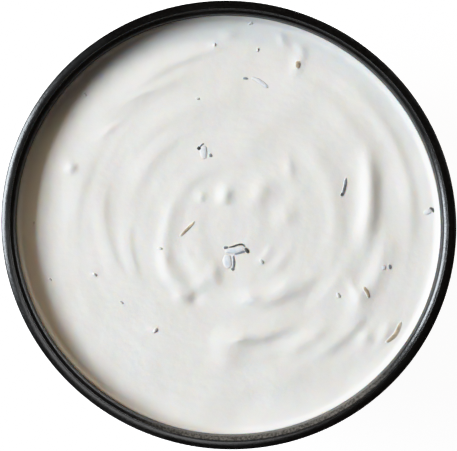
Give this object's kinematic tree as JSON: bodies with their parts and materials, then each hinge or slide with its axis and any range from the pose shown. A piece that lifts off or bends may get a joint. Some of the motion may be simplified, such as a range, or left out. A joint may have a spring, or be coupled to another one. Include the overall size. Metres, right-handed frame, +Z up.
{
  "type": "bowl of green onion dressing",
  "caption": "Round black-glazed stoneware bowl with a narrow stepped lip, filled with a spoon-swirled creamy green onion dressing.",
  "frame": {"origin": "centre of the underside of the bowl's foot", "axes": "+Z up out of the bowl; seen from above, +X is the right and +Y the top of the pictured view"},
  "size_m": [0.114, 0.1124, 0.05],
  "materials": {
    "black_glaze": "black stoneware glaze with a soft gloss and a faint speckle, worn a little lighter on the crests of the lip",
    "creamy_dressing": "off-white cream with a soft wet sheen, light passing a little way into it",
    "onion_green": "dark green onion skin, wet",
    "onion_pale": "bluish white onion flesh, translucent under a film of dressing",
    "spice_tan": "tan to brown slivers of spice and dried onion, damp"
  },
  "bodies": {
    "root": {"bowl": "black_glaze", "dressing": "creamy_dressing"}
  },
  "joints": []
}
